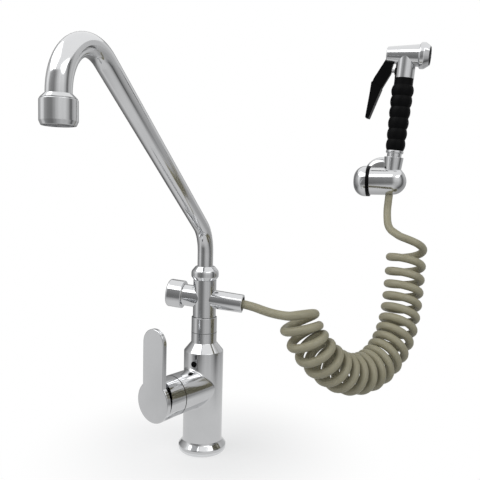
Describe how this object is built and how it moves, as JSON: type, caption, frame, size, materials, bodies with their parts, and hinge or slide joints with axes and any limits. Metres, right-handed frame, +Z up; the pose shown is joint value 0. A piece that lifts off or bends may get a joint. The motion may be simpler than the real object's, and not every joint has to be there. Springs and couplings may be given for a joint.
{
  "type": "commercial faucet",
  "caption": "Deck mixer faucet with an upright lever, swivelling hooked spout, side diverter and a coiled hose to a trigger hand spray in a wall holder.",
  "frame": {"origin": "centre of the column's foot on the deck", "axes": "+Z up, -Y to the user in front, +Y to the wall behind, +X to the hose side"},
  "size_m": [0.2818, 0.5255, 0.502],
  "materials": {
    "chrome": "polished chrome plate on brass",
    "brass": "bare turned brass",
    "steel": "plain stainless steel",
    "seal_rubber": "black seal rubber",
    "black_plastic": "black moulded plastic, half matt",
    "grip_rubber": "black ribbed rubber sleeve",
    "cartridge_plastic": "natural moulded plastic",
    "ceramic": "lapped ceramic",
    "hose": "khaki polyurethane hose, satin"
  },
  "bodies": {
    "faucet_body": {"mixer_body": "chrome", "base_gasket": "seal_rubber", "index_plug": "black_plastic", "cartridge_housing": "cartridge_plastic", "cartridge_seals": "seal_rubber", "ceramic_disc_fixed": "ceramic", "cartridge_nut": "brass", "neck_collar": "chrome", "collar_seal": "seal_rubber", "tee_body": "chrome", "diverter_gland": "brass", "hose_connector": "brass", "mouth_bush": "black_plastic", "spout_nut": "chrome", "spout_bush": "cartridge_plastic", "hose_lead": "hose", "hose_coil": "hose", "hose_tail": "hose", "bracket_arm": "chrome", "wall_plate": "steel", "wall_screws": "steel", "friction_ring": "black_plastic", "pivot_bolt": "steel", "spring_washer": "steel"},
    "spout": {"spout_tail": "brass", "spout_seals": "seal_rubber", "spout_tube": "chrome", "spout_tip": "chrome", "aerator_housing": "chrome", "aerator_insert": "cartridge_plastic", "aerator_gasket": "seal_rubber"},
    "cartridge_guide": {"cartridge_carrier": "cartridge_plastic", "stem_pin": "steel"},
    "sliding_disc": {"ceramic_disc_moving": "ceramic"},
    "lever": {"lever_stem": "steel", "lever_handle": "chrome", "lever_grub_screw": "steel"},
    "diverter": {"diverter_spindle": "brass", "diverter_seal": "seal_rubber", "diverter_knob": "chrome", "knob_screw": "steel"},
    "holder": {"holder_barrel": "chrome", "socket_liner": "black_plastic"},
    "hand_spray": {"hose_nut": "chrome", "hose_nipple": "brass", "hose_washer": "seal_rubber", "handle_ferrule": "chrome", "handle_tube": "brass", "grip_sleeve": "grip_rubber", "spray_body": "chrome", "spray_gasket": "seal_rubber", "spray_bezel": "chrome", "spray_face": "black_plastic", "trigger_pin": "steel", "valve_guide": "black_plastic", "valve_spring": "steel"},
    "trigger_lever": {"trigger": "black_plastic"},
    "valve_pin": {"valve_stem": "steel"}
  },
  "joints": [
    {"name": "spout_swivel", "type": "hinge", "parent": "faucet_body", "child": "spout", "pos_m": [0, 0, 0.2], "axis": [0, 0, 1], "range_deg": [-85, 85]},
    {"name": "lever_temperature", "type": "hinge", "parent": "faucet_body", "child": "cartridge_guide", "pos_m": [-0.01655, -0.05622, 0.0786], "axis": [-0.2823, -0.9593, 0], "range_deg": [-45, 45]},
    {"name": "lever_flow", "type": "hinge", "parent": "cartridge_guide", "child": "lever", "pos_m": [-0.01655, -0.05622, 0.0786], "axis": [0.9593, -0.2823, 0], "range_deg": [0, 18]},
    {"name": "disc_shift", "type": "slide", "parent": "cartridge_guide", "child": "sliding_disc", "axis": [0, 0, 1], "range_m": [0, 0.0038]},
    {"name": "diverter_turn", "type": "hinge", "parent": "faucet_body", "child": "diverter", "pos_m": [0, 0, 0.1818], "axis": [0.9831, 0.1557, -0.0958], "range_deg": [0, 90]},
    {"name": "holder_tilt", "type": "hinge", "parent": "faucet_body", "child": "holder", "pos_m": [0.171, 0.1775, 0.325], "axis": [1, 0, 0], "range_deg": [-5, 40], "deforming": ["hose_tail"]},
    {"name": "spray_lift", "type": "slide", "parent": "holder", "child": "hand_spray", "axis": [0.0854, 0, 0.9963], "range_m": [0, 0.03], "deforming": ["hose_tail"]},
    {"name": "trigger_squeeze", "type": "hinge", "parent": "hand_spray", "child": "trigger_lever", "pos_m": [0.17978, 0.1775, 0.48309], "axis": [0, -1, 0], "range_deg": [0, 12], "stiffness_Nm_per_rad": 0.5, "springref_deg": -11.46},
    {"name": "valve_push", "type": "slide", "parent": "hand_spray", "child": "valve_pin", "axis": [0.9963, 0, -0.0854], "range_m": [0, 0.0037], "deforming": ["valve_spring"]}
  ],
  "couplings": [
    {"joint": "disc_shift", "follows": "lever_flow", "m_per_rad": 0.0118},
    {"joint": "valve_push", "follows": "trigger_squeeze", "m_per_rad": 0.0172}
  ]
}
